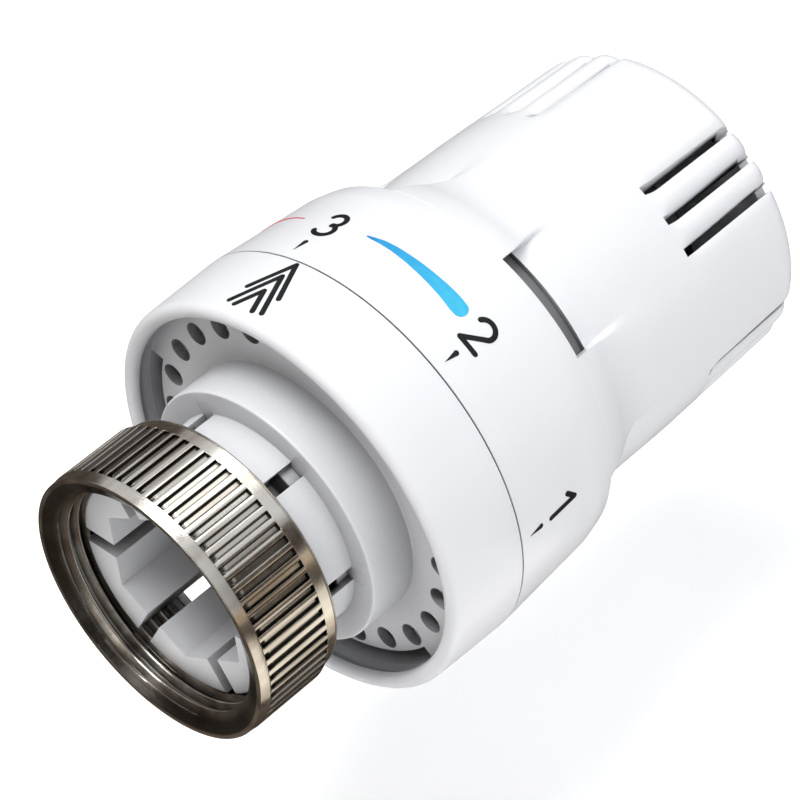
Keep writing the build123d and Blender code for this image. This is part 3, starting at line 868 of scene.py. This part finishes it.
def dial_prints():
    paths = numeral_paths()
    numerals = Print()
    ticks = Print()
    foot = numeral_foot + STROKE / 2
    for name, turn in mark_turns():
        for path in paths[name]:
            numerals.line([(a, foot + s) for a, s in path], turn)
        round_end = bow((0, tick_back - TICK_ROUNDING), TICK_HALF_WIDTH, TICK_ROUNDING, -35, 215, 12)
        ticks.patch([(0.0, tick_front)] + round_end, turn)
    numerals.build("numeral_print", black_ink, "hand_wheel", "dial_numerals")
    ticks.build("tick_print", black_ink, "hand_wheel", "dial_ticks")


DROP_END_REACH = 2.1
# (turn from the mark "3", station of the middle, half width) along the long drops
DROP = (
    (11.6, 39.55, 0.08), (13.5, 39.62, 0.22), (16.5, 39.80, 0.36), (20.0, 39.85, 0.46), (25.0, 39.82, 0.58),
    (30.0, 39.75, 0.72), (35.0, 39.65, 0.85), (39.0, 39.55, 0.97), (42.0, 39.40, 1.06), (43.6, 39.35, 1.02))


def drop_print(name, material, cad_node, sign, lateness):
    """A long drop on one side of the mark "3"; a high lateness keeps it thin until near its fat end."""
    first_turn = DROP[0][0]
    first_half = DROP[0][2]
    last_turn, last_middle, last_half = DROP[-1]
    steps = []
    for (t0, m0, w0), (t1, m1, w1) in zip(DROP, DROP[1:]):
        for k in range(6):
            u = k / 6
            turn = t0 + (t1 - t0) * u
            grown = ((turn - first_turn) / (last_turn - first_turn)) ** lateness
            half = first_half + (w0 + (w1 - w0) * u - first_half) * grown
            steps.append((turn, m0 + (m1 - m0) * u, half))
    steps.append(DROP[-1])
    for k in range(1, 9):
        angle = k / 8 * math.pi / 2
        steps.append((last_turn + DROP_END_REACH * math.sin(angle), last_middle, last_half * math.cos(angle)))
    drop = Print()
    for from_three, middle, half in steps:
        low, high = middle - half, middle + half
        for station, lift in ((low, SUNK), (low, FILM), (middle, FILM), (high, FILM), (high, SUNK)):
            drop.points.append(on_dial(0, station, THREE_TURN + sign * from_three, lift))
    for k in range(len(steps) - 1):
        for m in range(4):
            drop.faces.append((5 * k + m, 5 * k + m + 1, 5 * k + 6 + m, 5 * k + 5 + m))
    drop.build(name, material, "hand_wheel", cad_node)


# (station of the point, station of the feet, half width) of the three chevrons of the setting arrow
CHEVRONS = ((31.2, 26.0, 2.45), (29.0, 23.3, 2.55), (26.2, 23.0, 1.4))


def arrow_print():
    arrows = Print()
    for apex, foot, half_width in CHEVRONS:
        arrows.line([(-half_width, foot), (0, apex), (half_width, foot)], 0.0)
    arrows.build("arrow_print", black_ink, "base", "housing_arrows")


union_nut()
base_housing()
knob_shell()
end_cap()
dial_prints()
drop_print("cold_drop_print", blue_ink, "dial_cold_wedge", sign=1, lateness=0.0)
drop_print("warm_drop_print", red_ink, "dial_warm_wedge", sign=-1, lateness=1.8)
arrow_print()


# ---- stage, in metres ----
PANEL_STEPS = 8
ORIGIN = (0.0, 0.0, 0.0)


def floor_material():
    material, tree, place, shader = new_material("studio_floor")
    cloud = noise(tree, place, 6.0, 3.0)
    set_shader(
        tree, shader, Base_Color=ramp(tree, cloud, (0.3, (0.93, 0.93, 0.935)), (0.7, (0.95, 0.95, 0.95))),
        Roughness=0.8, Emission_Color=(1, 1, 1, 1), Emission_Strength=0.36,
        Normal=bumped(tree, cloud, 0.05, 0.0001))
    return material


def flag_material(name, low, high, glow=1.0):
    """A clouded board that shines by itself, so that its look doesn't hang on the lights."""
    material, tree, place, shader = new_material(name)
    colour = ramp(tree, noise(tree, place, 9.0, 3.0), (0.3, low), (0.7, high))
    set_shader(
        tree, shader, Base_Color=colour, Roughness=0.9, Emission_Color=colour, Emission_Strength=glow)
    return material


def panel(name, centre, size, facing, material):
    """A flat board of the given size that faces a point; all in metres."""
    forward = (Vector(facing) - Vector(centre)).normalized()
    turn = forward.to_track_quat("Z", "Y").to_matrix().to_4x4()
    points = []
    for i in range(PANEL_STEPS + 1):
        for k in range(PANEL_STEPS + 1):
            flat = Vector(((i / PANEL_STEPS - 0.5) * size[0], (k / PANEL_STEPS - 0.5) * size[1], 0))
            points.append(Vector(centre) + turn @ flat)
    row = PANEL_STEPS + 1
    corners = [i * row + k for i in range(PANEL_STEPS) for k in range(PANEL_STEPS)]
    faces = [(corner, corner + row, corner + row + 1, corner + 1) for corner in corners]
    board = mesh_object(name, points, faces, material)
    return board


def flag(name, centre, size, facing, material):
    """A board that only shows in the shine of metal and gloss."""
    board = panel(name, centre, size, facing, material)
    board.visible_camera = False
    board.visible_diffuse = False
    board.visible_shadow = False
    board.visible_transmission = False
    return board


def mottled_board():
    """Dark board with pale streaks, which the inside of the nut mirrors."""
    material, tree, place, shader = new_material("mottled_board")
    streaks = noise(tree, place, 45.0, 3.0)
    colour = ramp(
        tree, streaks, (0.42, (0.015, 0.012, 0.010)), (0.53, (0.10, 0.08, 0.06)), (0.60, (0.85, 0.82, 0.78)))
    set_shader(tree, shader, Base_Color=colour, Roughness=0.9, Emission_Color=colour, Emission_Strength=1.0)
    return material


centre = (cad_bounds[0] + cad_bounds[1]) / 2
lowest = cad_bounds[0].z
floor_middle = (centre.x, centre.y, lowest - 0.030)
panel("studio_floor", floor_middle, (6.0, 6.0), (centre.x, centre.y, 1.0), floor_material())

dark_board = flag_material("dark_board", (0.020, 0.015, 0.011), (0.050, 0.038, 0.028))
tan_board = flag_material("tan_board", (0.30, 0.24, 0.17), (0.45, 0.37, 0.27))
cream_board = flag_material("cream_board", (0.38, 0.35, 0.30), (0.62, 0.58, 0.50))
bright_board = flag_material("bright_board", (0.95, 0.94, 0.92), (1.0, 1.0, 0.98), glow=1.3)
mouth_flag = flag("mouth_flag", (-0.13, 0.0, -0.02), (0.16, 0.5), (0.0, 0.0, -0.02), mottled_board())
mouth_flag.visible_diffuse = True
flag("bright_flag", (0.50, -0.08, 0.72), (0.55, 0.95), ORIGIN, bright_board)
flag("low_flag", (0.0, 0.0, lowest - 0.024), (4.0, 4.0), (0.0, 0.0, 1.0), dark_board)
flag("cream_flag", (0.035, -0.09, lowest - 0.022), (0.06, 0.13), (0.035, -0.09, 1.0), cream_board)
flag("side_flag", (0.29, -0.50, 0.16), (0.24, 0.24), ORIGIN, dark_board)
flag("left_flag", (-0.6, 0.1, 0.1), (1.6, 0.9), ORIGIN, dark_board)
flag("back_flag", (0.3, 0.6, 0.0), (2.4, 0.9), ORIGIN, dark_board)
flag("front_flag", (0.15, -0.55, -0.02), (0.9, 0.10), ORIGIN, tan_board)


def area_light(name, place, size, energy):
    """A rectangular lamp that faces the middle of the object."""
    lamp = bpy.data.lights.new(name, "AREA")
    lamp.shape = "RECTANGLE"
    lamp.size, lamp.size_y = size
    lamp.energy = energy
    obj = bpy.data.objects.new(name, lamp)
    obj.location = place
    obj.rotation_mode = "QUATERNION"
    obj.rotation_quaternion = (centre - place).to_track_quat("-Z", "Y")
    bpy.context.scene.collection.objects.link(obj)


area_light("key_light", centre + Vector((-0.16, -0.06, 0.70)), (0.34, 0.34), 4.0)


def studio_world():
    """Soft light that falls off towards the mouth of the nut."""
    world = bpy.data.worlds.new("studio")
    bpy.context.scene.world = world
    world.use_nodes = True
    tree = world.node_tree
    sky = tree.nodes["Background"]
    toward = node(tree, "ShaderNodeTexCoord", {}).outputs["Generated"]
    side = node(tree, "ShaderNodeVectorMath", {0: toward, 1: (0.46, -0.02, 0.46)}, operation="DOT_PRODUCT")
    level = node(tree, "ShaderNodeMapRange", {
        "Value": side.outputs["Value"], "From Min": -0.5, "From Max": 0.5, "To Min": 0.03, "To Max": 0.72})
    sky.inputs["Color"].default_value = (0.96, 0.975, 1.0, 1)
    tree.links.new(level.outputs[0], sky.inputs["Strength"])


studio_world()


# ---- camera ----
CAMERA_PLACE = Vector((-0.16687, -0.272107, 0.250374))
LOOK = Vector((0.48933, 0.64298, -0.58918)).normalized()
RIGHT = Vector((0.68149, -0.70348, -0.20172)).normalized()
UP = RIGHT.cross(LOOK).normalized()
LENS = 169.08
SENSOR_WIDTH = 36.0


def studio_camera():
    data = bpy.data.cameras.new("camera")
    data.lens = LENS
    data.sensor_width = SENSOR_WIDTH
    camera = bpy.data.objects.new("camera", data)
    camera.matrix_world = Matrix((
        (RIGHT.x, UP.x, -LOOK.x, CAMERA_PLACE.x), (RIGHT.y, UP.y, -LOOK.y, CAMERA_PLACE.y),
        (RIGHT.z, UP.z, -LOOK.z, CAMERA_PLACE.z), (0, 0, 0, 1)))
    bpy.context.scene.collection.objects.link(camera)
    return camera


bpy.context.scene.camera = studio_camera()
bpy.context.scene.view_settings.view_transform = "Standard"
